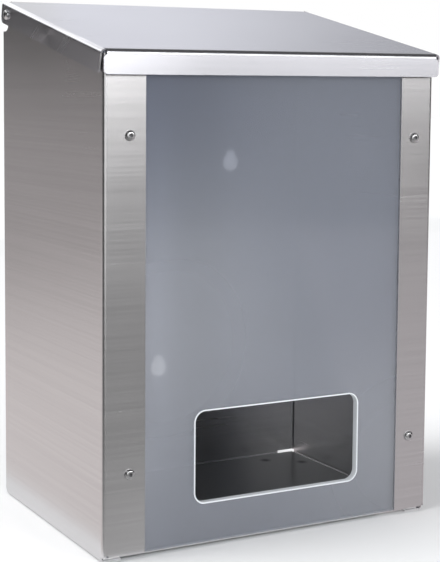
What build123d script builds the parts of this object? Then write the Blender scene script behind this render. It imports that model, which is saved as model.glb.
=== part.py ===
from build123d import *
import math
import os

os.makedirs("parts", exist_ok=True)

# ---------------------------------------------------------------- dimensions, mm
# Folded case: back, two sides and two narrow front flanges from one sheet
case_width = 280.0
case_depth = 191.5
sheet = 1.2
case_bend = 3.0              # outside radius of every bend in the case
left_flange = 33.0
right_flange = 29.5
skirt = 4.0                  # height at which walls and front flanges start
floor_flange = 16.0          # inward bottom flanges that carry the floor plate
back_flange_inset = 17.0     # the rear bottom flange stops short of the corners
fold_relief = 4.0            # bottom flanges keep this far from the corner bends
corner_punch = 1.8           # radius of the relief at the foot of each front bend

# Hinge, near the rear upper corners
hinge_height = 389.0
hinge_inset = 18.95          # axis in front of the back panel
ear_radius = 5.5             # case ear around the hinge screw
notch_radius = 6.0           # hollow corner behind the ear
shoulder_drop = 12.4         # top edge of the back panel below the axis

# Lid: a shallow folded tray that slopes down to the front
lid_slope = 12.8             # degrees
lid_rise = 9.1               # top face of the lid above the axis, square to it
lid_rear_reach = 12.1        # rear edge of the lid behind the axis, along the slope
lid_side_overhang = 3.2      # outside of lid flange to outside of case, each side
lid_front_overhang = 4.95    # outside of the front flange ahead of the case
lid_flange = 17.0
lid_bend = 3.5               # outside radius of the lid bends
side_flange_start = 1.0      # side flanges start behind the open front corner
front_bend_reach = 7.0       # the front bend is drawn this far along both its faces
front_cutback = 4.0          # the flat top starts this far back, behind the bend
front_bend_inset = 4.4       # front bend stops this far inside the lid width
front_flange_inset = 2.0     # front flange stops this far inside the lid width
rear_flange = 12.0
rear_flange_gap = 1.8        # rear flange to the inside of the case sides
rear_notch_depth = 5.0       # the top is cut away beside the rear bend
rear_notch_gap = 0.3         # edge of that notch outside the case sides
flange_corner = 3.0          # rounded corners of the front flange
rear_lug_corner = 5.0        # rounded rear lower corner of a side flange

# Hinge running fits
running_clearance = 0.05     # radial, lid hole on screw shank
side_play = 0.1              # along the axis, each side of the lid flange

# Window pane and its cut-out
pane_thickness = 5.0
pane_top_gap = 9.6           # top of the pane below the top front edge of the lid
pane_side_gap = 0.5          # edge of the pane clear of the corner bends
cutout_left = -66.0
cutout_right = 74.6
cutout_bottom = 33.2
cutout_top = 100.3
cutout_corner = 8.0

# Screws that hold the pane
screw_inset = 12.3           # from the inner edge of the flange
lower_screw_height = 62.0
upper_left_screw_drop = 58.7   # below the top front edge of the lid
upper_right_screw_drop = 63.4

# M4 button head screws with their washers, nuts and spacers
shank_radius = 2.0
hole_clearance = 0.25        # radial, fixed screws
thread_clearance = 0.02      # radial, shank in nut
head_radius = 3.8
head_height = 2.2
head_flat_radius = 1.9
head_shoulder_radius = 3.15  # the dome is turned as two cones that meet here
head_shoulder_height = 1.6
socket_flats = 2.5
socket_depth = 1.3
washer_radius = 4.5
washer_thickness = 0.8
nut_flats = 7.0
nut_height = 3.2
cap_radius = 3.25
cap_height = 4.8
cap_crown = 1.9              # bevel of the closed end
cap_bore = 6.0
collar_radius = 3.1
collar_height = 1.8
collar_crown = 0.8           # bevel of the collar
spacer_radius = 4.0
screw_end_gap = 1.0          # end of a pane screw to the bottom of its cap nut
screw_overrun = 0.5          # end of a hinge screw past its lock nut

# Floor plate
floor_gap = 0.2              # edges of the floor plate clear of the bends

# Keyholes for hanging on the wall
keyhole_pitch = 140.0
upper_keyhole_height = 268.0
lower_keyhole_height = 92.0
keyhole_radius = 7.4
keyhole_slot_radius = 4.15
keyhole_rise = 6.85          # slot end above the round hole centre

# ---------------------------------------------------------------- derived positions
slope = math.radians(lid_slope)
sin_slope = math.sin(slope)
cos_slope = math.cos(slope)
half_width = case_width / 2
lid_half = half_width + lid_side_overhang

# Case and front flange of the lid together are centred front to back
back_y = (case_depth + lid_front_overhang) / 2
front_y = back_y - case_depth
mid_y = (front_y + back_y) / 2
hinge_y = back_y - hinge_inset
shoulder_height = hinge_height - shoulder_drop

lid_front_y = front_y - lid_front_overhang
hinge_run = (hinge_y - lid_front_y - lid_rise * sin_slope) / cos_slope
lid_length = hinge_run + lid_rear_reach
lid_front_height = hinge_height - hinge_run * sin_slope + lid_rise * cos_slope
closed_lid = Plane(
    origin=(0, lid_front_y, lid_front_height),
    x_dir=(1, 0, 0),
    z_dir=(0, -sin_slope, cos_slope),
)

window_left = -half_width + left_flange
window_right = half_width - right_flange
pane_front_y = front_y + sheet
pane_back_y = pane_front_y + pane_thickness
pane_half = half_width - case_bend - pane_side_gap
pane_top = lid_front_height - pane_top_gap
turning_hole = shank_radius + running_clearance
fixed_hole = shank_radius + hole_clearance
window_screws = {
    "upper_left": (window_left - screw_inset, lid_front_height - upper_left_screw_drop),
    "upper_right": (window_right + screw_inset, lid_front_height - upper_right_screw_drop),
    "lower_left": (window_left - screw_inset, lower_screw_height),
    "lower_right": (window_right + screw_inset, lower_screw_height),
}

# ---------------------------------------------------------------- folded case
with BuildPart() as case_shell:
    # Walls: rounded plan of the folded sheet, open between the front flanges
    with BuildSketch(Plane.XY.offset(skirt)):
        with Locations((0, mid_y)):
            RectangleRounded(case_width, case_depth, case_bend)
            RectangleRounded(
                case_width - 2 * sheet,
                case_depth - 2 * sheet,
                case_bend - sheet,
                mode=Mode.SUBTRACT,
            )
        with Locations(((window_left + window_right) / 2, front_y)):
            Rectangle(window_right - window_left, 4 * sheet, mode=Mode.SUBTRACT)
    extrude(amount=hinge_height + ear_radius - skirt)

    # Side view: top edges follow the lid, an ear rises around each hinge screw
    with BuildSketch(Plane.YZ):
        with BuildLine():
            ear_top = (
                hinge_y - ear_radius * sin_slope,
                hinge_height + ear_radius * cos_slope,
            )
            ear_back = hinge_y + ear_radius
            front_top = ear_top[1] - (ear_top[0] - front_y) * math.tan(slope)
            Polyline(
                (ear_back, hinge_height),
                (ear_back, shoulder_height),
                (back_y, shoulder_height),
                (back_y, 0),
                (front_y, 0),
                (front_y, front_top),
                ear_top,
            )
            RadiusArc(ear_top, (ear_back, hinge_height), ear_radius)
        make_face()
        fillet(vertices().sort_by_distance((ear_back, shoulder_height))[0], notch_radius)
    extrude(amount=half_width, both=True, mode=Mode.INTERSECT)

    # Bottom flanges of the sides, folded inwards
    for side in (-1, 1):
        with BuildSketch(Plane.XZ.offset(-(back_y - fold_relief))):
            with BuildLine():
                Polyline(
                    (side * half_width, skirt),
                    (side * half_width, 0),
                    (side * (half_width - floor_flange), 0),
                    (side * (half_width - floor_flange), sheet),
                    (side * (half_width - sheet), sheet),
                    (side * (half_width - sheet), skirt),
                    close=True,
                )
            make_face()
            fillet(vertices().sort_by_distance((side * half_width, 0))[0], case_bend)
            inner_fold = (side * (half_width - sheet), sheet)
            fillet(vertices().sort_by_distance(inner_fold)[0], case_bend - sheet)
        extrude(amount=case_depth - 2 * fold_relief)

    # Bottom flange of the back, between the two corners
    with BuildSketch(Plane.YZ):
        with BuildLine():
            Polyline(
                (back_y, skirt),
                (back_y, 0),
                (back_y - floor_flange, 0),
                (back_y - floor_flange, sheet),
                (back_y - sheet, sheet),
                (back_y - sheet, skirt),
                close=True,
            )
        make_face()
        fillet(vertices().sort_by_distance((back_y, 0))[0], case_bend)
        inner_fold = (back_y - sheet, sheet)
        fillet(vertices().sort_by_distance(inner_fold)[0], case_bend - sheet)
    extrude(amount=half_width - back_flange_inset, both=True)

    # Relief at the foot of each front bend
    with BuildSketch(Plane.XZ.offset(-front_y)):
        for side in (-1, 1):
            with Locations((side * (half_width - case_bend), skirt)):
                Circle(corner_punch)
    extrude(amount=sheet, both=True, mode=Mode.SUBTRACT)

    # Screw holes in the front flanges
    with BuildSketch(Plane.XZ.offset(-front_y)):
        with Locations(*window_screws.values()):
            Circle(fixed_hole)
    extrude(amount=2 * sheet, both=True, mode=Mode.SUBTRACT)

    # Hinge holes through both ears
    with BuildSketch(Plane.YZ):
        with Locations((hinge_y, hinge_height)):
            Circle(turning_hole)
    extrude(amount=half_width + sheet, both=True, mode=Mode.SUBTRACT)

    # Keyholes in the back, round below and slotted above
    with BuildSketch(Plane.XZ.offset(-back_y)):
        with Locations(
            (-keyhole_pitch / 2, upper_keyhole_height),
            (keyhole_pitch / 2, upper_keyhole_height),
            (0, lower_keyhole_height),
        ):
            Circle(keyhole_radius)
            with Locations((0, keyhole_rise / 2)):
                Rectangle(2 * keyhole_slot_radius, keyhole_rise)
            with Locations((0, keyhole_rise)):
                Circle(keyhole_slot_radius)
    extrude(amount=2 * sheet, both=True, mode=Mode.SUBTRACT)

# ---------------------------------------------------------------- floor plate
with BuildPart() as floor_plate:
    floor_half = half_width - case_bend - floor_gap
    floor_back = back_y - case_bend - floor_gap
    with BuildSketch(Plane.XY.offset(sheet)):
        with Locations((0, (pane_back_y + floor_back) / 2)):
            Rectangle(2 * floor_half, floor_back - pane_back_y)
    extrude(amount=sheet)

# ---------------------------------------------------------------- window pane
with BuildPart() as window_panel:
    with BuildSketch(Plane.XZ.offset(-pane_back_y)):
        with Locations((0, (skirt + pane_top) / 2)):
            Rectangle(2 * pane_half, pane_top - skirt)
        with Locations(
            ((cutout_left + cutout_right) / 2, (cutout_bottom + cutout_top) / 2)
        ):
            RectangleRounded(
                cutout_right - cutout_left,
                cutout_top - cutout_bottom,
                cutout_corner,
                mode=Mode.SUBTRACT,
            )
        with Locations(*window_screws.values()):
            Circle(fixed_hole, mode=Mode.SUBTRACT)
    extrude(amount=pane_thickness)

# ---------------------------------------------------------------- lid
# Drawn flat: X across, Y from the front edge to the rear, Z up from the top face
upright = Plane(origin=(0, 0, 0), x_dir=(1, 0, 0), z_dir=(0, -cos_slope, sin_slope))
with BuildPart() as lid:
    # Top and side flanges
    with BuildSketch(Plane.XZ.offset(-lid_length)):
        with Locations((0, -lid_flange / 2)):
            Rectangle(2 * lid_half, lid_flange)
        fillet(vertices().group_by(Axis.Y)[-1], lid_bend)
        with BuildSketch(mode=Mode.SUBTRACT):
            with Locations((0, -lid_flange / 2 - sheet)):
                Rectangle(2 * (lid_half - sheet), lid_flange)
            fillet(vertices().group_by(Axis.Y)[-1], lid_bend - sheet)
    extrude(amount=lid_length - side_flange_start)
    flange_ends = edges().filter_by(Axis.X).group_by(Axis.Z)[0]
    fillet(flange_ends.group_by(Axis.Y)[0], flange_corner)
    flange_ends = edges().filter_by(Axis.X).group_by(Axis.Z)[0]
    fillet(flange_ends.group_by(Axis.Y)[-1], rear_lug_corner)
    # The flat top is cut back in front to leave room for the bend, and behind
    # so that it swings down past the case sides
    with BuildSketch(Plane.XY):
        Rectangle(2 * (lid_half - lid_bend), 2 * front_cutback)
        with Locations((0, lid_length)):
            Rectangle(2 * (half_width + rear_notch_gap), 2 * rear_notch_depth)
    extrude(amount=2 * sheet, both=True, mode=Mode.SUBTRACT)
    # Rear bend and flange, between the case sides
    with BuildSketch(Plane.YZ):
        with BuildLine():
            Polyline(
                (lid_length, -rear_flange),
                (lid_length, 0),
                (lid_length - 2 * lid_bend, 0),
                (lid_length - 2 * lid_bend, -sheet),
                (lid_length - sheet, -sheet),
                (lid_length - sheet, -rear_flange),
                close=True,
            )
        make_face()
        fillet(vertices().sort_by_distance((lid_length, 0))[0], lid_bend)
        inner_fold = (lid_length - sheet, -sheet)
        fillet(vertices().sort_by_distance(inner_fold)[0], lid_bend - sheet)
    extrude(amount=half_width - sheet - rear_flange_gap, both=True)
    # Front bend, turned past square so that its flange hangs upright on the slope
    with BuildSketch(Plane.YZ):
        with BuildLine():
            inner_fold = (sheet * (1 - sin_slope) / cos_slope, -sheet)
            foot = (-front_bend_reach * sin_slope, -front_bend_reach * cos_slope)
            Polyline(
                foot,
                (0, 0),
                (front_bend_reach, 0),
                (front_bend_reach, -sheet),
                inner_fold,
                (foot[0] + sheet * cos_slope, foot[1] - sheet * sin_slope),
                close=True,
            )
        make_face()
        fillet(vertices().sort_by_distance((0, 0))[0], lid_bend)
        fillet(vertices().sort_by_distance(inner_fold)[0], lid_bend - sheet)
    extrude(amount=lid_half - front_bend_inset, both=True)
    # Front flange, a little wider than its bend, with rounded corners
    with BuildSketch(upright):
        with Locations((0, -(lid_flange + lid_bend) / 2)):
            RectangleRounded(
                2 * (lid_half - front_flange_inset),
                lid_flange - lid_bend,
                flange_corner,
            )
    extrude(amount=-sheet)
    # Hinge holes
    with BuildSketch(Plane.YZ):
        with Locations((hinge_run, -lid_rise)):
            Circle(turning_hole)
    extrude(amount=lid_half + sheet, both=True, mode=Mode.SUBTRACT)


# ---------------------------------------------------------------- fasteners
def button_screw(shank_length):
    """Button head screw: seat at Z=0, head above it, shank below."""
    with BuildPart() as screw:
        with BuildSketch(Plane.XZ):
            with BuildLine():
                Polyline(
                    (0, head_height),
                    (head_flat_radius, head_height),
                    (head_shoulder_radius, head_shoulder_height),
                    (head_radius, 0),
                    (shank_radius, 0),
                    (shank_radius, -shank_length),
                    (0, -shank_length),
                    close=True,
                )
            make_face()
        revolve(axis=Axis.Z)
        with BuildSketch(Plane.XY.offset(head_height)):
            RegularPolygon(socket_flats / 2, 6, major_radius=False)
        extrude(amount=-socket_depth, mode=Mode.SUBTRACT)
    return screw.part


def ring(outer_radius, inner_radius, thickness):
    """Flat ring standing on Z=0."""
    with BuildPart() as disc:
        with BuildSketch():
            Circle(outer_radius)
            Circle(inner_radius, mode=Mode.SUBTRACT)
        extrude(amount=thickness)
    return disc.part


def hexagon_nut(crown_radius, crown_height, crown_bevel, bore_depth):
    """Hexagon nut standing on Z=0 under a round crown, bored from below."""
    with BuildPart() as nut:
        with BuildSketch():
            RegularPolygon(nut_flats / 2, 6, major_radius=False)
        extrude(amount=nut_height)
        with BuildSketch(Plane.XY.offset(nut_height)):
            Circle(crown_radius)
        extrude(amount=crown_height)
        chamfer(faces().sort_by(Axis.Z)[-1].edges(), crown_bevel)
        with BuildSketch():
            Circle(shank_radius + thread_clearance)
        extrude(amount=bore_depth, mode=Mode.SUBTRACT)
    return nut.part


pieces = {
    "case_shell": case_shell.part,
    "floor_plate": floor_plate.part,
    "window_panel": window_panel.part,
    "lid": closed_lid.location * lid.part,
}

# Pane fasteners: head outside, washer and cap nut inside the box
pane_screw = button_screw(
    sheet + pane_thickness + washer_thickness + cap_bore - screw_end_gap
)
pane_washer = ring(washer_radius, fixed_hole, washer_thickness)
cap_nut = hexagon_nut(cap_radius, cap_height, cap_crown, cap_bore)
for corner, (x, z) in window_screws.items():
    seat = Plane(origin=(x, front_y, z), x_dir=(1, 0, 0), z_dir=(0, -1, 0))
    inside = Plane(origin=(x, pane_back_y, z), x_dir=(1, 0, 0), z_dir=(0, 1, 0))
    pieces[f"window_screw_{corner}"] = seat.location * pane_screw
    pieces[f"window_washer_{corner}"] = inside.location * pane_washer
    pieces[f"window_cap_nut_{corner}"] = inside.offset(washer_thickness).location * cap_nut

# Hinge fasteners: the lid flange turns between the screw head and a spacer
head_seat = half_width + lid_side_overhang + side_play
inner_wall = half_width - sheet
spacer_length = lid_side_overhang - sheet - side_play
lock_nut_length = nut_height + collar_height
hinge_screw = button_screw(
    head_seat - inner_wall + washer_thickness + lock_nut_length + screw_overrun
)
hinge_spacer = ring(spacer_radius, turning_hole, spacer_length)
hinge_washer = ring(washer_radius, fixed_hole, washer_thickness)
lock_nut = hexagon_nut(collar_radius, collar_height, collar_crown, lock_nut_length)


def on_hinge(x, direction):
    """Plane on the hinge axis at x, facing along X in the given direction."""
    return Plane(origin=(x, hinge_y, hinge_height), x_dir=(0, 1, 0), z_dir=(direction, 0, 0))


for name, side in (("left", -1), ("right", 1)):
    behind_wall = on_hinge(side * inner_wall, -side)
    pieces[f"hinge_screw_{name}"] = on_hinge(side * head_seat, side).location * hinge_screw
    pieces[f"hinge_spacer_{name}"] = on_hinge(side * half_width, side).location * hinge_spacer
    pieces[f"hinge_washer_{name}"] = behind_wall.location * hinge_washer
    pieces[f"hinge_lock_nut_{name}"] = behind_wall.offset(washer_thickness).location * lock_nut

# ---------------------------------------------------------------- export
for name, piece in pieces.items():
    piece.label = name
    export_step(piece, f"parts/{name}.step")

print("hinge axis", hinge_y, hinge_height)
print("front, back", front_y, back_y)
print("pane", pane_front_y, pane_back_y, pane_top)
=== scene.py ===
# %% [markdown]
# # Disposable glove dispenser: the looks
# The shapes of the sheet metal, the clear pane and the fasteners come from the packed
# model. This script dresses them: brushed stainless sheet, clear acrylic with sawn
# edges, turned screw heads, and the studio they stand in.

# %% Load the frame
import math

import bmesh
import bpy
from mathutils import Matrix, Vector


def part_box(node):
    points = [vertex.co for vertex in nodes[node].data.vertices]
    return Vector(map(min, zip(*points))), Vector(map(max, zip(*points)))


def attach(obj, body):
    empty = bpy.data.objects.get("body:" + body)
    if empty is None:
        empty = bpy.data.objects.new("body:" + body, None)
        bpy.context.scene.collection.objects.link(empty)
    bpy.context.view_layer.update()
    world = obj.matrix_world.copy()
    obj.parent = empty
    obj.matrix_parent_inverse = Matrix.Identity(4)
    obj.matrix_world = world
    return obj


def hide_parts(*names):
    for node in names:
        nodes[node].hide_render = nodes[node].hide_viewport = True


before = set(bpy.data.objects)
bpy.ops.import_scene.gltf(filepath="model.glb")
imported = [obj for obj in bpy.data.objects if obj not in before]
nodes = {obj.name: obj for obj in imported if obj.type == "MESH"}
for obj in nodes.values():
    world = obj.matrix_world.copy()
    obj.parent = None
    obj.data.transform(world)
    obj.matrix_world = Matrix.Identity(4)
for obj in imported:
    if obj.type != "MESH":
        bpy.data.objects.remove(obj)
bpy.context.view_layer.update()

# %% [markdown]
# ## Places to work from
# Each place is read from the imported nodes, so pieces sit where the metal is.

# %% Named places
SLOPE = math.radians(12.8)          # fall of the lid towards the front
case_low, case_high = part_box("case_shell")
pane_low, pane_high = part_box("window_panel")
floor_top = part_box("floor_plate")[1][2]
print("case front", case_low[1], "floor top", floor_top)


# %% [markdown]
# ## Small helpers for node materials
# A finish is a handful of nodes. These helpers only save typing: one makes a node
# with its sockets set, one links two sockets.

# %% Node helpers
def add(tree, kind, place=(0, 0), **values):
    """New node; values name its properties, or its input sockets with spaces as _."""
    node = tree.nodes.new(kind)
    node.location = place
    for name, value in values.items():
        if hasattr(node, name):
            setattr(node, name, value)
        else:
            node.inputs[name.replace("_", " ")].default_value = value
    return node


def new_material(name, colour, metallic, roughness):
    """Material with a Principled shader, and its tree and shader."""
    material = bpy.data.materials.new(name)
    material.use_nodes = True
    tree = material.node_tree
    shader = tree.nodes["Principled BSDF"]
    shader.inputs["Base Color"].default_value = (*colour, 1)
    shader.inputs["Metallic"].default_value = metallic
    shader.inputs["Roughness"].default_value = roughness
    material.diffuse_color = (*colour, 1)
    return material, tree, shader


def new_group(name, inputs, outputs):
    """Empty node group with named inputs (kind, default) and outputs (kind)."""
    group = bpy.data.node_groups.new(name, "ShaderNodeTree")
    for label, (kind, default) in inputs.items():
        socket = group.interface.new_socket(label, in_out="INPUT", socket_type=kind)
        if default is not None:
            socket.default_value = default
    for label, kind in outputs.items():
        group.interface.new_socket(label, in_out="OUTPUT", socket_type=kind)
    source = group.nodes.new("NodeGroupInput")
    source.location = (-900, 0)
    sink = group.nodes.new("NodeGroupOutput")
    sink.location = (700, 0)
    return group, source, sink


def use_group(tree, group, place=(-500, 0), **values):
    """Places a group in a material and sets its inputs."""
    node = tree.nodes.new("ShaderNodeGroup")
    node.node_tree = group
    node.location = place
    for name, value in values.items():
        node.inputs[name.replace("_", " ")].default_value = value
    return node


def object_space(tree):
    """Coordinates of the piece itself, which stay with it when it moves."""
    return add(tree, "ShaderNodeTexCoord", (-1100, 0)).outputs["Object"]


def vary_roughness(tree, shader, space, group, roughness, **values):
    """Lets the roughness wander about a value as a group's tone does."""
    marks = use_group(tree, group, (-880, 0), **values)
    tree.links.new(space, marks.inputs["Vector"])
    rough = add(tree, "ShaderNodeMath", (-640, -60), operation="ADD")
    rough.inputs[1].default_value = roughness
    tree.links.new(marks.outputs["Tone"], rough.inputs[0])
    tree.links.new(rough.outputs[0], shader.inputs["Roughness"])
    return marks


FLOAT = "NodeSocketFloat"
VECTOR = "NodeSocketVector"
print("node helpers ready")

# %% [markdown]
# ## Brushed grain
# Stainless sheet of this kind is belt-ground along its length before it is folded.
# The belt leaves thousands of fine parallel scratches, so the finish is the same
# along the grain and changes quickly across it. One group makes that grain for every
# metal piece: noise whose space is squeezed along the grain. A second, coarser noise
# gives the faint broad bands where the belt pressed harder.

# %% Grain group
BAND_SPACE = (0.3, 0.3, 0.28)       # the bands are about three times coarser
BAND_WEIGHT = 0.08
GRAIN_MIDDLE = 0.54                 # mean of the fine grain and the bands together
grain, source, sink = new_group(
    "brushed_grain",
    {
        "Vector": (VECTOR, None),
        "Across": (FLOAT, 900.0),
        "Along": (FLOAT, 14.0),
        "Contrast": (FLOAT, 1.0),
    },
    {"Tone": FLOAT},
)
parts = add(grain, "ShaderNodeSeparateXYZ", (-700, 0))
grain.links.new(source.outputs["Vector"], parts.inputs[0])
run = add(grain, "ShaderNodeMath", (-500, 120), operation="MULTIPLY")
rise = add(grain, "ShaderNodeMath", (-500, -60), operation="MULTIPLY")
depth = add(grain, "ShaderNodeMath", (-500, -240), operation="MULTIPLY")
grain.links.new(parts.outputs["X"], run.inputs[0])
grain.links.new(source.outputs["Along"], run.inputs[1])
grain.links.new(parts.outputs["Y"], depth.inputs[0])
grain.links.new(source.outputs["Along"], depth.inputs[1])
grain.links.new(parts.outputs["Z"], rise.inputs[0])
grain.links.new(source.outputs["Across"], rise.inputs[1])
squeezed = add(grain, "ShaderNodeCombineXYZ", (-320, 0))
grain.links.new(run.outputs[0], squeezed.inputs["X"])
grain.links.new(depth.outputs[0], squeezed.inputs["Y"])
grain.links.new(rise.outputs[0], squeezed.inputs["Z"])
fine = add(grain, "ShaderNodeTexNoise", (-120, 160), Scale=1.0, Detail=1.0, Roughness=0.5)
grain.links.new(squeezed.outputs[0], fine.inputs["Vector"])
coarse_space = add(grain, "ShaderNodeVectorMath", (-320, -220), operation="MULTIPLY")
coarse_space.inputs[1].default_value = BAND_SPACE
grain.links.new(squeezed.outputs[0], coarse_space.inputs[0])
bands = add(grain, "ShaderNodeTexNoise", (-120, -160), Scale=1.0, Detail=2.0, Roughness=0.5)
grain.links.new(coarse_space.outputs[0], bands.inputs["Vector"])
both = add(grain, "ShaderNodeMath", (100, 40), operation="MULTIPLY_ADD")
grain.links.new(bands.outputs["Fac"], both.inputs[0])
both.inputs[1].default_value = BAND_WEIGHT
grain.links.new(fine.outputs["Fac"], both.inputs[2])
centred = add(grain, "ShaderNodeMath", (280, 40), operation="SUBTRACT")
centred.inputs[1].default_value = GRAIN_MIDDLE
grain.links.new(both.outputs[0], centred.inputs[0])
scaled = add(grain, "ShaderNodeMath", (460, 40), operation="MULTIPLY")
grain.links.new(centred.outputs[0], scaled.inputs[0])
grain.links.new(source.outputs["Contrast"], scaled.inputs[1])
grain.links.new(scaled.outputs[0], sink.inputs["Tone"])
print("group", grain.name, len(grain.nodes), "nodes")

# %% [markdown]
# ## Handling marks
# Bare steel always shows where it was wiped and held: broad, faint clouds in which
# the surface is a little duller. A second group gives that cloudiness, from smooth
# noise at the size of a palm.

# %% Cloud group
clouds, source, sink = new_group(
    "handling_clouds",
    {"Vector": (VECTOR, None), "Size": (FLOAT, 16.0), "Amount": (FLOAT, 1.0)},
    {"Tone": FLOAT},
)
broad = add(clouds, "ShaderNodeTexNoise", (-400, 0), Detail=4.0, Roughness=0.55, Distortion=0.3)
clouds.links.new(source.outputs["Vector"], broad.inputs["Vector"])
clouds.links.new(source.outputs["Size"], broad.inputs["Scale"])
level = add(clouds, "ShaderNodeMath", (-150, 0), operation="SUBTRACT")
level.inputs[1].default_value = 0.5
clouds.links.new(broad.outputs["Fac"], level.inputs[0])
amount = add(clouds, "ShaderNodeMath", (80, 0), operation="MULTIPLY")
clouds.links.new(level.outputs[0], amount.inputs[0])
clouds.links.new(source.outputs["Amount"], amount.inputs[1])
clouds.links.new(amount.outputs[0], sink.inputs["Tone"])
print("group", clouds.name, len(clouds.nodes), "nodes")


# %% [markdown]
# ## Soft patch
# A third group gives one soft round patch about a point. The haze of the pane and
# the dark marks on the floor plate are built from a few of them.

# %% Patch group
patch, source, sink = new_group(
    "soft_patch",
    {"Vector": (VECTOR, None), "Centre": (VECTOR, (0, 0, 0)), "Radius": (FLOAT, 0.1)},
    {"Mask": FLOAT},
)
offset = add(patch, "ShaderNodeVectorMath", (-500, 0), operation="DISTANCE")
patch.links.new(source.outputs["Vector"], offset.inputs[0])
patch.links.new(source.outputs["Centre"], offset.inputs[1])
fall = add(patch, "ShaderNodeMapRange", (-250, 0), interpolation_type="SMOOTHERSTEP")
fall.inputs["From Min"].default_value = 0.0
fall.inputs["To Min"].default_value = 1.0
fall.inputs["To Max"].default_value = 0.0
patch.links.new(offset.outputs["Value"], fall.inputs["Value"])
patch.links.new(source.outputs["Radius"], fall.inputs["From Max"])
patch.links.new(fall.outputs[0], sink.inputs["Mask"])
print("group", patch.name, len(patch.nodes), "nodes")

# %% [markdown]
# ## Brushed steel
# Steel reflects most of the light and has no colour under it, so it is a full metal.
# Fine scratches spread a reflection across the grain and hardly along it: that is the
# anisotropy, and it is why a folded box looks so smooth from top to bottom. The grain
# also makes small changes in tone and roughness.

# %% Steel recipe
GRAIN_ROUGHNESS = 0.04
CLOUD_ROUGHNESS = 0.05
CLOUD_SIZE = 9.0


def brushed_steel(name, colour, roughness, turn=(0, 0, 0), across=620.0, along=2.5,
                  tangent_axis="Z", rotation=0.25, anisotropy=0.6, tone=0.14,
                  cloud=0.06):
    """Brushed sheet; turn brings the grain's space round so that Z runs across it."""
    material, tree, shader = new_material(name, colour, 1.0, roughness)
    shader.inputs["Anisotropic"].default_value = anisotropy
    shader.inputs["Anisotropic Rotation"].default_value = rotation
    place = add(tree, "ShaderNodeTexCoord", (-1500, 0))
    turned = add(tree, "ShaderNodeMapping", (-1300, 0))
    turned.inputs["Rotation"].default_value = turn
    tree.links.new(place.outputs["Object"], turned.inputs["Vector"])
    lines = use_group(tree, grain, (-1080, 120), Across=across, Along=along, Contrast=1.0)
    tree.links.new(turned.outputs[0], lines.inputs["Vector"])
    smudge = use_group(tree, clouds, (-1080, -120), Size=CLOUD_SIZE, Amount=1.0)
    tree.links.new(turned.outputs[0], smudge.inputs["Vector"])
    # brightness: 1 + grain * tone + clouds * cloud
    grain_part = add(tree, "ShaderNodeMath", (-850, 160), operation="MULTIPLY_ADD")
    grain_part.inputs[1].default_value = tone
    grain_part.inputs[2].default_value = 1.0
    tree.links.new(lines.outputs["Tone"], grain_part.inputs[0])
    full = add(tree, "ShaderNodeMath", (-660, 160), operation="MULTIPLY_ADD")
    full.inputs[1].default_value = cloud
    tree.links.new(smudge.outputs["Tone"], full.inputs[0])
    tree.links.new(grain_part.outputs[0], full.inputs[2])
    tint = add(tree, "ShaderNodeVectorMath", (-460, 160), operation="SCALE")
    tint.inputs[0].default_value = colour
    tree.links.new(full.outputs[0], tint.inputs["Scale"])
    tree.links.new(tint.outputs[0], shader.inputs["Base Color"])
    # roughness follows the same marks
    rough = add(tree, "ShaderNodeMath", (-660, -60), operation="MULTIPLY_ADD")
    rough.inputs[1].default_value = GRAIN_ROUGHNESS
    rough.inputs[2].default_value = roughness
    tree.links.new(lines.outputs["Tone"], rough.inputs[0])
    dull = add(tree, "ShaderNodeMath", (-460, -60), operation="MULTIPLY_ADD")
    dull.inputs[1].default_value = CLOUD_ROUGHNESS
    tree.links.new(smudge.outputs["Tone"], dull.inputs[0])
    tree.links.new(rough.outputs[0], dull.inputs[2])
    tree.links.new(dull.outputs[0], shader.inputs["Roughness"])
    tangent = add(tree, "ShaderNodeTangent", (-260, -460), direction_type="RADIAL",
                  axis=tangent_axis)
    tree.links.new(tangent.outputs[0], shader.inputs["Tangent"])
    return material


# %% Sheet finishes
case_steel = brushed_steel("case_brushed_steel", (0.640, 0.632, 0.640), 0.26)
lid_steel = brushed_steel(
    "lid_brushed_steel", (0.675, 0.675, 0.715), 0.26,
    turn=(math.pi / 4 - SLOPE, 0, 0), tangent_axis="X", rotation=0.0, tone=0.05,
)
# The floor plate is the same steel as the case, painted much darker: painted shade for the inside of the
# box, where it lies.
floor_painted_shade_steel = brushed_steel(
    "floor_brushed_steel_painted_shade", (0.40, 0.415, 0.41), 0.32,
    turn=(math.pi / 2, 0, 0), tangent_axis="X", rotation=0.0, across=700.0,
)
print("steel finishes", case_steel.name, lid_steel.name, floor_painted_shade_steel.name)

# %% [markdown]
# ## Spot welds
# The small dark marks on the floor plate are taken as spot welds to the flanges under it. They are
# listed on one side and mirrored to the other. The floor's own colour is mixed towards a dark one in a
# soft round patch at each.

# %% Spot welds
WELDS_ON_ONE_SIDE = [(0.0991, 0.0792), (0.1252, 0.0604), (0.131, -0.0392)]
WELDS = [(side * across, deep) for side in (1, -1) for across, deep in WELDS_ON_ONE_SIDE]
WELD_RADIUS = 0.0075
SCORCHED = (0.06, 0.06, 0.06, 1)
tree = floor_painted_shade_steel.node_tree
shader = tree.nodes["Principled BSDF"]
bare = shader.inputs["Base Color"].links[0].from_socket
place = add(tree, "ShaderNodeTexCoord", (-1500, 700))
scorch = None
for row, (across, deep) in enumerate(WELDS):
    weld = use_group(tree, patch, (-1080, 500 + 180 * row),
                     Centre=(across, deep, floor_top), Radius=WELD_RADIUS)
    tree.links.new(place.outputs["Object"], weld.inputs["Vector"])
    if scorch is None:
        scorch = weld.outputs["Mask"]
        continue
    both = add(tree, "ShaderNodeMath", (-850 + 130 * row, 600), operation="MAXIMUM")
    tree.links.new(scorch, both.inputs[0])
    tree.links.new(weld.outputs["Mask"], both.inputs[1])
    scorch = both.outputs[0]
burnt = add(tree, "ShaderNodeMix", (-180, 400), data_type="RGBA")
burnt.inputs["B"].default_value = SCORCHED
tree.links.new(scorch, burnt.inputs["Factor"])
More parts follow.
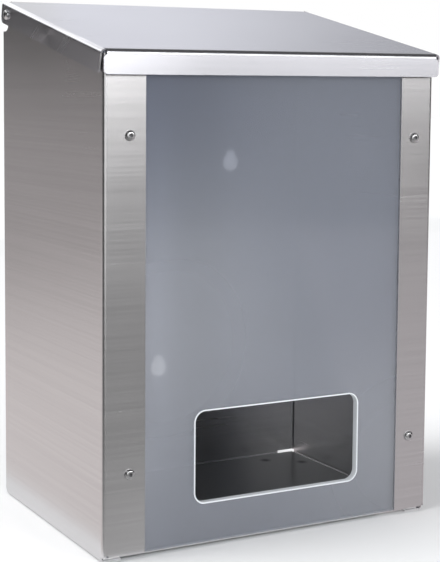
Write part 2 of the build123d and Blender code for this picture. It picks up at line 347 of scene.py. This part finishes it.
tree.links.new(bare, burnt.inputs["A"])
tree.links.new(burnt.outputs["Result"], shader.inputs["Base Color"])
print("welds", len(WELDS))

# %% [markdown]
# ## Turned fasteners
# Screw heads and nuts are machined, not belt-ground, so they have no straight grain.
# Faint clouds in tone and roughness keep them from looking like chrome.

# %% Fastener finish
FASTENER_COLOUR = (0.62, 0.62, 0.63)
FASTENER_ROUGHNESS = 0.26
screw_steel, tree, shader = new_material("fastener_steel", FASTENER_COLOUR, 1.0, FASTENER_ROUGHNESS)
marks = vary_roughness(tree, shader, object_space(tree), clouds, FASTENER_ROUGHNESS,
                       Size=180.0, Amount=0.35)
full = add(tree, "ShaderNodeMath", (-640, 160), operation="ADD")
full.inputs[1].default_value = 1.0
tree.links.new(marks.outputs["Tone"], full.inputs[0])
tint = add(tree, "ShaderNodeVectorMath", (-440, 160), operation="SCALE")
tint.inputs[0].default_value = FASTENER_COLOUR
tree.links.new(full.outputs[0], tint.inputs["Scale"])
tree.links.new(tint.outputs[0], shader.inputs["Base Color"])
print("finish", screw_steel.name)

# %% [markdown]
# ## Nylon spacers
# The spacers between lid and case are plain turned nylon: not metal, a little warm in
# colour, and neither shiny nor flat. One roughness with faint clouds is enough.

# %% Nylon finish
NYLON_ROUGHNESS = 0.45
nylon, tree, shader = new_material("natural_nylon", (0.78, 0.77, 0.73), 0.0, NYLON_ROUGHNESS)
vary_roughness(tree, shader, object_space(tree), clouds, NYLON_ROUGHNESS, Size=250.0, Amount=0.2)
print("finish", nylon.name)

# %% [markdown]
# ## Clear acrylic
# The pane is 5 mm cast acrylic: clear, very faintly blue in its depth, polished on its faces and sawn on
# its edges. Sawn acrylic scatters light, so the edges read as white lines. A real pane also shows broad
# soft reflections of its room. Here a painted reflection stands in for them: the pane's milky colour is
# painted paler lower down, paler in two soft patches and darker in a third. It stays with the pane, so
# it is the same from every side, which a real reflection is not.

# %% Acrylic finishes
ACRYLIC_ROUGHNESS = 0.07
acrylic, tree, shader = new_material("clear_acrylic", (0.80, 0.84, 0.90), 0.0, ACRYLIC_ROUGHNESS)
shader.inputs["IOR"].default_value = 1.49
shader.inputs["Transmission Weight"].default_value = 0.70
space = object_space(tree)
vary_roughness(tree, shader, space, clouds, ACRYLIC_ROUGHNESS, Size=7.0, Amount=0.05)
parts = add(tree, "ShaderNodeSeparateXYZ", (-880, 300))
tree.links.new(space, parts.inputs[0])
# Painted reflection: the milkiness is graded paler towards the bottom of the pane.
milky_and_painted_grade = add(tree, "ShaderNodeMapRange", (-700, 300), interpolation_type="SMOOTHSTEP")
milky_and_painted_grade.inputs["From Min"].default_value = 0.02
milky_and_painted_grade.inputs["From Max"].default_value = 0.34
milky_and_painted_grade.inputs["To Min"].default_value = 0.36
milky_and_painted_grade.inputs["To Max"].default_value = 0.24
tree.links.new(parts.outputs["Z"], milky_and_painted_grade.inputs["Value"])
milky_and_painted_reflection = milky_and_painted_grade.outputs[0]
# Painted reflection in soft patches: paler on the left and low on the right, darker in the corner under
# the lid.
PAINTED_REFLECTION_PATCHES = [                            # centre, radius, strength
    ((-0.090, 0, 0.165), 0.200, 0.42),      # paler on the left
    ((0.120, 0, 0.050), 0.180, 0.42),       # paler low on the right
    ((-0.120, 0, 0.350), 0.200, -0.40),     # clearer corner under the lid
]
for row, (centre, radius, strength) in enumerate(PAINTED_REFLECTION_PATCHES):
    spot = use_group(tree, patch, (-880, 500 + 200 * row), Centre=centre, Radius=radius)
    tree.links.new(space, spot.inputs["Vector"])
    total = add(tree, "ShaderNodeMath", (-500 + 150 * row, 400), operation="MULTIPLY_ADD")
    total.inputs[1].default_value = strength
    tree.links.new(spot.outputs["Mask"], total.inputs[0])
    tree.links.new(milky_and_painted_reflection, total.inputs[2])
    milky_and_painted_reflection = total.outputs[0]
# The mask mixes a dark and a pale colour: the even milkiness and the painted reflection together.
tone = add(tree, "ShaderNodeMix", (-140, 300), data_type="RGBA")
tone.inputs["A"].default_value = (0.38, 0.41, 0.50, 1)
tone.inputs["B"].default_value = (0.94, 0.96, 1.0, 1)
tree.links.new(milky_and_painted_reflection, tone.inputs["Factor"])
tree.links.new(tone.outputs["Result"], shader.inputs["Base Color"])
print("haze patches", len(PAINTED_REFLECTION_PATCHES))

# %% Sawn edge
SAWN_ROUGHNESS = 0.5
sawn_edge, tree, shader = new_material("sawn_acrylic_edge", (0.88, 0.91, 0.94), 0.0, SAWN_ROUGHNESS)
vary_roughness(tree, shader, object_space(tree), grain, SAWN_ROUGHNESS,
               Across=1200.0, Along=40.0, Contrast=0.3)
print("finish", sawn_edge.name)

# %% [markdown]
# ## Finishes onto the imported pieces
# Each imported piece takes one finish. The pane's narrow faces take the sawn edge as a
# second one: they are the faces that don't look forwards or backwards. Those that lie
# well inside the pane belong to the cut-out, which is measured from them.

# %% Finish of each piece
INNER_MARGIN = 0.02                 # faces this far inside the pane are the cut-out's
CUTOUT_ZONE_TOP = 0.2
finishes = {
    "case_shell": case_steel,
    "lid": lid_steel,
    "floor_plate": floor_painted_shade_steel,
    "window_panel": acrylic,
}
for name, node in nodes.items():
    finish = finishes.get(name)
    if finish is None:
        finish = nylon if "spacer" in name else screw_steel
    node.data.materials.clear()
    node.data.materials.append(finish)
pane = nodes["window_panel"].data
pane.materials.append(sawn_edge)
opening = []
for face in pane.polygons:
    if abs(face.normal.y) < 0.5:
        face.material_index = 1
        middle = face.center
        inside = pane_low[0] + INNER_MARGIN < middle.x < pane_high[0] - INNER_MARGIN
        if inside and INNER_MARGIN < middle.z < CUTOUT_ZONE_TOP:
            opening += [pane.vertices[index].co for index in face.vertices]
cutout_box = (
    (min(point.x for point in opening), min(point.z for point in opening)),
    (max(point.x for point in opening), max(point.z for point in opening)),
)
print("cut-out in the pane", cutout_box)

# %% [markdown]
# ## Cut edges of the sheet
# A sheared edge is not brushed: it is duller than the faces. It is also made a little paler than the
# faces, which is a painted highlight: the bright line that light draws along a cut edge. The imported
# mesh has no mark for it, but a cut face is exactly as wide as the sheet is thick, so each face is
# measured and the narrow ones take the edge steel.

# %% Sheared edge finish, with painted highlight
SHEARED_ROUGHNESS = 0.42
# Paler than the faces: a painted highlight along the cut edges.
cut_steel_and_highlight, tree, shader = new_material(
    "sheared_edge_steel_and_highlight", (0.74, 0.74, 0.75), 1.0, SHEARED_ROUGHNESS
)
vary_roughness(tree, shader, object_space(tree), grain, SHEARED_ROUGHNESS,
               Across=1500.0, Along=300.0, Contrast=0.4)
print("finish", cut_steel_and_highlight.name)

# %% Cut faces
SHEET = 0.0012
WIDTH_PLAY = 0.00006


def is_cut_edge(mesh, face):
    """A cut face is as wide as the sheet is thick."""
    corners = [mesh.vertices[index].co for index in face.vertices]
    longest = max((corners[i] - corners[i - 1]).length for i in range(len(corners)))
    width = 2 * face.area / longest
    return abs(width - SHEET) < WIDTH_PLAY


for name in ("case_shell", "lid", "floor_plate"):
    mesh = nodes[name].data
    mesh.materials.append(cut_steel_and_highlight)
    count = 0
    for face in mesh.polygons:
        if is_cut_edge(mesh, face):
            face.material_index = 1
            count += 1
    print("cut edge faces", name, count)

# %% [markdown]
# ## Button head screws
# The head of a button screw is a low dome with a hexagon socket. A profile is drawn
# as a chain of points from the bottom of the socket, over the dome and down the
# shank, and spun once round the axis. The socket's ring is then drawn in to the six
# flats of the key.

# %% Socket painted shade
# Dark steel for the faces down in the hexagon socket: painted shade, where the socket is shaded.
SOCKET_ROUGHNESS = 0.45
socket_painted_shade, tree, shader = new_material("socket_painted_shade", (0.16, 0.16, 0.17), 1.0, SOCKET_ROUGHNESS)
vary_roughness(tree, shader, object_space(tree), clouds, SOCKET_ROUGHNESS, Size=900.0, Amount=0.15)
print("finish", socket_painted_shade.name)

# %% Screw profile
HEAD_RADIUS, HEAD_HEIGHT = 0.0038, 0.0022
SOCKET_FLATS, SOCKET_DEPTH = 0.0025, 0.0013
SOCKET_POINT = 0.0004               # drill point below the socket's floor
SOCKET_RIM = 0.0005                 # flat ring between socket and dome
HEAD_FOOT = 0.0003                  # straight wall under the dome
SHANK_RADIUS = 0.002
TURN_STEPS = 48
DOME_STEPS = 8


def chain(work, points):
    """Open chain of edges through (radius, height) points in the XZ plane."""
    verts = [work.verts.new((radius, 0, height)) for radius, height in points]
    edges = [work.edges.new(pair) for pair in zip(verts, verts[1:])]
    return verts + edges


def button_screw(name, seat, outward, shank_length):
    """Screw with its seat at a point and its head outward along an axis."""
    socket_radius = SOCKET_FLATS / 2
    crown_radius = socket_radius + SOCKET_RIM
    reach = HEAD_RADIUS - crown_radius
    dome = []
    for step in range(DOME_STEPS + 1):
        turn = math.radians(90 * step / DOME_STEPS)
        height = HEAD_FOOT + (HEAD_HEIGHT - HEAD_FOOT) * math.cos(turn)
        dome.append((crown_radius + reach * math.sin(turn), height))
    work = bmesh.new()
    geometry = chain(work, [
        (0, HEAD_HEIGHT - SOCKET_DEPTH - SOCKET_POINT),
        (socket_radius, HEAD_HEIGHT - SOCKET_DEPTH),
        (socket_radius, HEAD_HEIGHT),
        *dome,
        (HEAD_RADIUS, 0),
        (SHANK_RADIUS, 0),
        (SHANK_RADIUS, -shank_length),
        (0, -shank_length),
    ])
    bmesh.ops.spin(work, geom=geometry, cent=(0, 0, 0), axis=(0, 0, 1),
                   angle=2 * math.pi, steps=TURN_STEPS, use_merge=True)
    bmesh.ops.remove_doubles(work, verts=work.verts, dist=1e-6)
    for vert in work.verts:
        flat = vert.co.xy.length
        if abs(flat - socket_radius) < 1e-6 and vert.co.z > 0:
            angle = math.atan2(vert.co.y, vert.co.x) % math.radians(60) - math.radians(30)
            vert.co.xy *= 1 / math.cos(angle)
    bmesh.ops.recalc_face_normals(work, faces=work.faces)
    # Faces down in the socket take the dark steel, a painted shade.
    for face in work.faces:
        middle = face.calc_center_median()
        if middle.xy.length < socket_radius and middle.z > 0:
            face.material_index = 1
    axis = Vector(outward)
    turn = axis.to_track_quat("Z", "Y").to_matrix()
    bmesh.ops.rotate(work, verts=work.verts, cent=(0, 0, 0), matrix=turn)
    bmesh.ops.translate(work, verts=work.verts, vec=seat)
    mesh = bpy.data.meshes.new(name)
    work.to_mesh(mesh)
    work.free()
    for face in mesh.polygons:
        face.use_smooth = True
    mesh.set_sharp_from_angle(angle=math.radians(35))
    piece = bpy.data.objects.new(name, mesh)
    bpy.context.scene.collection.objects.link(piece)
    mesh.materials.append(screw_steel)
    mesh.materials.append(socket_painted_shade)
    return piece


print("screw head", 2 * HEAD_RADIUS, "across and", HEAD_HEIGHT, "high")

# %% Screws in their places
for name in [n for n in nodes if "screw" in n]:
    low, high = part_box(name)
    middle = [(a + b) / 2 for a, b in zip(low, high)]
    if name.startswith("window"):
        outward = (0, -1, 0)
        seat = (middle[0], low[1] + HEAD_HEIGHT, middle[2])
        length = high[1] - low[1] - HEAD_HEIGHT
    elif name.endswith("left"):
        outward = (-1, 0, 0)
        seat = (low[0] + HEAD_HEIGHT, middle[1], middle[2])
        length = high[0] - low[0] - HEAD_HEIGHT
    else:
        outward = (1, 0, 0)
        seat = (high[0] - HEAD_HEIGHT, middle[1], middle[2])
        length = high[0] - low[0] - HEAD_HEIGHT
    piece = button_screw("domed_" + name, seat, outward, length)
    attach(piece, "case")
    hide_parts(name)
print("screws", len([n for n in nodes if "screw" in n]))

# %% [markdown]
# ## Scraped rim of the cut-out
# After sawing, the sharp corner between face and edge is scraped off. The scraped
# band is about a millimetre wide and frosted, so the opening is drawn by a pale line
# all round. It is a rounded rectangle, inset once, with its middle taken out, and
# thickened by a few hundredths of a millimetre so that it lies on the pane.

# %% Cut-out rim
CUTOUT_LOW, CUTOUT_HIGH = cutout_box
CUTOUT_CORNER = 0.008
RIM_WIDTH = 0.0010
RIM_LIFT = 0.00006
CORNER_STEPS = 16
rim_mesh = bpy.data.meshes.new("cutout_rim")
work = bmesh.new()
bmesh.ops.create_grid(work, x_segments=1, y_segments=1, size=0.5)
bmesh.ops.scale(work, verts=work.verts, vec=(
    CUTOUT_HIGH[0] - CUTOUT_LOW[0] + 2 * RIM_WIDTH,
    CUTOUT_HIGH[1] - CUTOUT_LOW[1] + 2 * RIM_WIDTH, 1))
bmesh.ops.bevel(work, geom=work.verts[:], offset=CUTOUT_CORNER + RIM_WIDTH, segments=CORNER_STEPS,
                profile=0.5, affect="VERTICES", material=-1)
middle = work.faces[:]
bmesh.ops.inset_region(work, faces=middle, thickness=RIM_WIDTH, depth=0,
                       use_boundary=True, use_even_offset=True)
bmesh.ops.delete(work, geom=middle, context="FACES_ONLY")
bmesh.ops.solidify(work, geom=work.faces[:], thickness=RIM_LIFT / 2)
bmesh.ops.recalc_face_normals(work, faces=work.faces)
bmesh.ops.rotate(work, verts=work.verts, cent=(0, 0, 0), matrix=Matrix.Rotation(math.pi / 2, 3, "X"))
bmesh.ops.translate(work, verts=work.verts, vec=(
    (CUTOUT_LOW[0] + CUTOUT_HIGH[0]) / 2, pane_low[1] - RIM_LIFT,
    (CUTOUT_LOW[1] + CUTOUT_HIGH[1]) / 2))
work.to_mesh(rim_mesh)
work.free()
rim = bpy.data.objects.new("cutout_rim", rim_mesh)
bpy.context.scene.collection.objects.link(rim)
rim_mesh.materials.append(sawn_edge)
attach(rim, "case")
print("rim faces", len(rim_mesh.polygons), "cut-out", CUTOUT_LOW, CUTOUT_HIGH)

# %% [markdown]
# ## Camera
# The camera stands to the left of the front and a little below the lid. Its lens and
# the shift of its picture keep the upright edges of the box where they belong.

# %% Camera
camera_data = bpy.data.cameras.new("camera")
camera = bpy.data.objects.new("camera", camera_data)
bpy.context.scene.collection.objects.link(camera)
bpy.context.scene.camera = camera
IMAGE_LONG = 562
IMAGE_CENTRE = (220, 281)
LENS_CENTRE = (150.0, 203.632)      # where the lens axis meets the picture, in pixels
FOCAL_PIXELS = 1354.76
camera_data.sensor_width = 36.0
camera_data.lens = FOCAL_PIXELS / IMAGE_LONG * camera_data.sensor_width
camera_data.shift_x = (IMAGE_CENTRE[0] - LENS_CENTRE[0]) / IMAGE_LONG
camera_data.shift_y = (LENS_CENTRE[1] - IMAGE_CENTRE[1]) / IMAGE_LONG
camera_data.clip_start = 0.05
camera_data.clip_end = 50
YAW, PITCH, ROLL = 0.467091, -0.083791, 0.003165
aim = (
    Matrix.Rotation(-YAW, 4, "Z")
    @ Matrix.Rotation(math.pi / 2 + PITCH, 4, "X")
    @ Matrix.Rotation(ROLL, 4, "Z")
)
camera.matrix_world = Matrix.Translation((-0.525834, case_low[1] - 0.836939, 0.330572)) @ aim
print("lens", round(camera_data.lens, 2), "shift", camera_data.shift_x, camera_data.shift_y)


# %% [markdown]
# ## Lamps
# Two soft boxes stand ahead and to the right and light the front. A broad sun gives
# the plain level and the soft shadow. The soft boxes are hidden from the camera and
# from rays that leave through the pane, or they would show as bright bands in it.

# %% Lamps
KEY_SPREAD = math.radians(35)
BOX_MIDDLE = (0, 0, 0.33)           # what the soft boxes are aimed at


def area_light(name, place, target, size, power):
    """Rectangular soft light at place, facing target."""
    data = bpy.data.lights.new(name, "AREA")
    data.shape = "RECTANGLE"
    data.size, data.size_y = size
    data.energy = power
    light = bpy.data.objects.new(name, data)
    bpy.context.scene.collection.objects.link(light)
    light.location = place
    light.rotation_mode = "QUATERNION"
    direction = Vector(target) - Vector(place)
    light.rotation_quaternion = direction.to_track_quat("-Z", "Y")
    return light


front_softbox = area_light("front_softbox", (0.56, -1.90, 0.86), BOX_MIDDLE, (0.62, 0.7), 8.0)
side_softbox = area_light("side_softbox", (1.36, -1.66, 0.82), BOX_MIDDLE, (0.95, 0.7), 6.1)
for softbox in (front_softbox, side_softbox):
    softbox.visible_camera = False
    softbox.visible_transmission = False
key_data = bpy.data.lights.new("key_light", "SUN")
key_data.energy = 2.0
key_data.angle = KEY_SPREAD
key_light = bpy.data.objects.new("key_light", key_data)
bpy.context.scene.collection.objects.link(key_light)
key_light.rotation_mode = "QUATERNION"
key_light.rotation_quaternion = Vector((1.1, -0.2, -1.6)).to_track_quat("-Z", "Y")
print("lamps", key_light.name, front_softbox.name)

# %% [markdown]
# ## Cards
# Metal looks like what it mirrors, so the room is built from cards: a round grey wall
# with an opening, a roof, mats on the floor and a few upright cards. They are plain
# emission and only mirror rays see them. The back, edge and bend cards are stronger
# than white, so whatever mirrors them looks brighter than the room. All of them were
# placed for the camera's side, and other sides get less from them.

# %% Card finish
def ramp(tree, value, low, high, start, end, place):
    """Smooth grade of one value between two others."""
    grade = add(tree, "ShaderNodeMapRange", place, interpolation_type="SMOOTHSTEP")
    grade.inputs["From Min"].default_value = low
    grade.inputs["From Max"].default_value = high
    grade.inputs["To Min"].default_value = start
    grade.inputs["To Max"].default_value = end
    tree.links.new(value, grade.inputs["Value"])
    return grade.outputs[0]


def card(name, level, *grades, colour=(1, 1, 1)):
    """Matte card with a little light of its own; each grade is (axis, low, high, start, end)."""
    material = bpy.data.materials.new(name)
    material.use_nodes = True
    tree = material.node_tree
    tree.nodes.clear()
    place = add(tree, "ShaderNodeTexCoord", (-1100, 0))
    parts = add(tree, "ShaderNodeSeparateXYZ", (-900, 0))
    tree.links.new(place.outputs["Object"], parts.inputs[0])
    shine = add(tree, "ShaderNodeEmission", (-100, 0), Color=(*colour, 1), Strength=level)
    strength = None
    for row, (axis, low, high, start, end) in enumerate(grades):
        grade = ramp(tree, parts.outputs[axis], low, high, start, end, (-680, -260 * row))
        product = add(tree, "ShaderNodeMath", (-450 + 160 * row, -260 * row), operation="MULTIPLY")
        product.inputs[1].default_value = level
        tree.links.new(grade, product.inputs[0])
        if strength is not None:
            tree.links.new(strength, product.inputs[1])
        strength = product.outputs[0]
    if strength is not None:
        tree.links.new(strength, shine.inputs["Strength"])
    out = add(tree, "ShaderNodeOutputMaterial", (100, 0))
    tree.links.new(shine.outputs[0], out.inputs[0])
    material.cycles.emission_sampling = "NONE"
    return material


def stage_piece(name, mesh, material):
    """Studio piece that is never part of the product."""
    piece = bpy.data.objects.new(name, mesh)
    bpy.context.scene.collection.objects.link(piece)
    mesh.materials.append(material)
    return piece


def only_mirrored(piece):
    """The piece is seen in the metal and the pane, and nowhere else."""
    piece.visible_camera = False
    piece.visible_diffuse = False
    piece.visible_shadow = False
    piece.visible_transmission = False


def only_through_pane(piece):
    """The piece is seen by light that has gone through the pane, and nowhere else."""
    piece.visible_camera = False
    piece.visible_glossy = False
    piece.visible_diffuse = False
    piece.visible_shadow = False


print("card helpers ready")

# %% Wall and roof
WALL_RADIUS = 2.4
WALL_HEIGHT = 1.8
OPEN_FROM, OPEN_TO = math.radians(-14), math.radians(48)   # from +Y towards +X
WALL_STEPS = 96


def round_wall(name):
    """Mesh of the round wall with its opening: one post spun round the room."""
    mesh = bpy.data.meshes.new(name)
    work = bmesh.new()
    start = Vector((WALL_RADIUS * math.sin(OPEN_TO), WALL_RADIUS * math.cos(OPEN_TO), 0))
    foot = work.verts.new(start)
    head = work.verts.new(start + Vector((0, 0, WALL_HEIGHT)))
    post = work.edges.new((foot, head))
    bmesh.ops.spin(
        work, geom=[foot, head, post], cent=(0, 0, 0), axis=(0, 0, -1),
        angle=2 * math.pi - (OPEN_TO - OPEN_FROM), steps=WALL_STEPS, use_merge=False,
    )
    work.to_mesh(mesh)
    work.free()
    return mesh


flag_wall = stage_piece(
    "flag_wall", round_wall("flag_wall"),
    card("flag_wall_card", 0.40, ("Y", -0.6, 1.4, 0.12, 1.0), ("Z", 0.25, 0.48, 1.0, 0.10),
         colour=(1.04, 0.98, 0.98)),
)
roof_mesh = bpy.data.meshes.new("flag_roof")
work = bmesh.new()
bmesh.ops.create_grid(work, x_segments=1, y_segments=1, size=WALL_RADIUS)
bmesh.ops.translate(work, verts=work.verts, vec=(0, -0.9, WALL_HEIGHT))
work.to_mesh(roof_mesh)
work.free()
flag_roof = stage_piece(
    "flag_roof", roof_mesh, card("flag_roof_card", 0.25, ("Y", -1.0, 2.4, 0.2, 1.0))
)
print("wall and roof", flag_wall.name, flag_roof.name)


# %% Floor mats
NEAR_MAT = (("X", -0.45, 0.05, 0.5, 1.0), ("Y", -0.45, -0.08, 1.0, 2.1))


def floor_mat(name, low, high, level, turn, material):
    """Rectangular card lying on the floor, turned about its own low corner."""
    mesh = bpy.data.meshes.new(name)
    work = bmesh.new()
    bmesh.ops.create_grid(work, x_segments=1, y_segments=1, size=0.5)
    bmesh.ops.scale(work, verts=work.verts, vec=(high[0] - low[0], high[1] - low[1], 1))
    middle = ((low[0] + high[0]) / 2, (low[1] + high[1]) / 2, level)
    bmesh.ops.translate(work, verts=work.verts, vec=middle)
    bmesh.ops.rotate(work, verts=work.verts, cent=(high[0], high[1], 0),
                     matrix=Matrix.Rotation(turn, 3, "Z"))
    work.to_mesh(mesh)
    work.free()
    return stage_piece(name, mesh, material)


mats = [
    floor_mat("front_mat", (-2.4, -2.4), (0.10, -0.10), 0.002, 0,
              card("front_mat_card", 0.25, *NEAR_MAT)),
    floor_mat("middle_mat", (-0.9, -2.4), (0.10, -0.10), 0.003, math.radians(31),
              card("middle_mat_card", 0.25, *NEAR_MAT)),
    floor_mat("right_mat", (0.10, -2.4), (2.4, 1.6), 0.001, 0,
              card("right_mat_card", 0.55, colour=(1.04, 0.98, 1.0))),
    floor_mat("left_mat", (-2.4, -0.10), (-0.16, 2.4), 0.001, 0,
              card("left_mat_card", 0.77, ("Y", 0.3, 1.9, 1.0, 0.5), colour=(1.05, 0.98, 0.97))),
]
print("mats", [mat.name for mat in mats])


# %% Upright cards
def upright_card(name, centre, half_width, half_height, material):
    """Card standing across the room, square to the front."""
    mesh = bpy.data.meshes.new(name)
    work = bmesh.new()
    bmesh.ops.create_grid(work, x_segments=1, y_segments=1, size=1.0)
    bmesh.ops.scale(work, verts=work.verts, vec=(half_width, half_height, 1))
    bmesh.ops.rotate(work, verts=work.verts, cent=(0, 0, 0), matrix=Matrix.Rotation(math.pi / 2, 3, "X"))
    bmesh.ops.translate(work, verts=work.verts, vec=centre)
    work.to_mesh(mesh)
    work.free()
    return stage_piece(name, mesh, material)


back_card = upright_card(
    "back_card", (1.60, 1.95, 1.45), 0.85, 0.85,
    card("back_card_grey", 1.10, ("X", 0.95, 1.90, 1.0, 0.58), colour=(0.98, 0.99, 1.05)),
)
edge_card = upright_card(
    "edge_card", (-0.32, 1.75, 1.42), 0.78, 0.36, card("edge_card_white", 1.9)
)
low_card = upright_card(
    "low_card", (0.90, 1.90, 0.28), 1.50, 0.27, card("low_card_grey", 0.34)
)
bend_card = upright_card(
    "bend_card", (-1.15, -1.90, 0.80), 1.35, 0.80, card("bend_card_white", 1.25)
)
for flag in (flag_wall, flag_roof, back_card, edge_card, low_card, bend_card, *mats):
    only_mirrored(flag)
print("upright cards", back_card.name, edge_card.name, low_card.name, bend_card.name)

# %% [markdown]
# ## Wall seen through the pane
# Light that leaves the box through the pane would meet the white world and wash the
# pane out. A second round wall, which only that light meets, keeps it grey.

# %% Veil wall
veil_wall = stage_piece("veil_wall", round_wall("veil_wall"), card("veil_wall_grey", 0.55))
only_through_pane(veil_wall)
print("wall", veil_wall.name)

# %% [markdown]
# ## Room
# The world is white where the camera, the metal or the pane sees it, and a dimmer,
# slightly cool light everywhere else, so that the background is white while the box
# is lit at a plain level.

# %% Room
world = bpy.data.worlds.new("studio")
bpy.context.scene.world = world
world.use_nodes = True
tree = world.node_tree
tree.nodes.clear()
ray = add(tree, "ShaderNodeLightPath", (-900, 300))
room = add(tree, "ShaderNodeBackground", (-350, 0), Color=(0.95, 0.97, 1.0, 1), Strength=0.6)
white = add(tree, "ShaderNodeBackground", (-350, 200), Color=(1, 1, 1, 1), Strength=1.0)
seen = add(tree, "ShaderNodeMath", (-700, 300), operation="MAXIMUM")
tree.links.new(ray.outputs["Is Camera Ray"], seen.inputs[0])
tree.links.new(ray.outputs["Is Transmission Ray"], seen.inputs[1])
mirrored = add(tree, "ShaderNodeMath", (-500, 300), operation="MAXIMUM")
tree.links.new(seen.outputs[0], mirrored.inputs[0])
tree.links.new(ray.outputs["Is Glossy Ray"], mirrored.inputs[1])
pick = add(tree, "ShaderNodeMixShader", (-120, 100))
tree.links.new(mirrored.outputs[0], pick.inputs[0])
tree.links.new(room.outputs[0], pick.inputs[1])
tree.links.new(white.outputs[0], pick.inputs[2])
out = add(tree, "ShaderNodeOutputWorld", (100, 100))
tree.links.new(pick.outputs[0], out.inputs[0])
print("world", world.name)

# %% [markdown]
# ## Floor
# A large pale floor takes the shadow of the box and is nearly white itself.

# %% Floor
FLOOR_ROUGHNESS = 0.6
floor_mesh = bpy.data.meshes.new("studio_floor")
work = bmesh.new()
bmesh.ops.create_grid(work, x_segments=8, y_segments=8, size=12.0)
work.to_mesh(floor_mesh)
work.free()
pale, tree, shader = new_material("pale_floor", (0.92, 0.92, 0.92), 0.0, FLOOR_ROUGHNESS)
vary_roughness(tree, shader, object_space(tree), clouds, FLOOR_ROUGHNESS, Size=3.0, Amount=0.04)
floor = stage_piece("studio_floor", floor_mesh, pale)
print("floor", floor.name)

# %% [markdown]
# ## Card behind the keyholes
# The box hangs on a wall, which would be seen through its keyholes. A small grey card
# stands in for that wall, seen only through the pane.

# %% Keyhole card
WALL_GAP = 0.03
KEYHOLE_CARD_HEIGHT = 0.18          # of its middle
card_mesh = bpy.data.meshes.new("keyhole_card")
work = bmesh.new()
bmesh.ops.create_grid(work, x_segments=1, y_segments=1, size=0.13)
bmesh.ops.rotate(work, verts=work.verts, cent=(0, 0, 0), matrix=Matrix.Rotation(math.pi / 2, 3, "X"))
bmesh.ops.scale(work, verts=work.verts, vec=(1, 1, 1.3))
bmesh.ops.translate(work, verts=work.verts, vec=(0, case_high[1] + WALL_GAP, KEYHOLE_CARD_HEIGHT))
work.to_mesh(card_mesh)
work.free()
keyhole_card = stage_piece(
    "keyhole_card", card_mesh, card("keyhole_card_grey", 0.5)
)
only_through_pane(keyhole_card)
print("card", keyhole_card.name)

# %% [markdown]
# ## Plain colours, and the end
# The Standard view shows a colour as it is written.

# %% View
bpy.context.scene.view_settings.view_transform = "Standard"
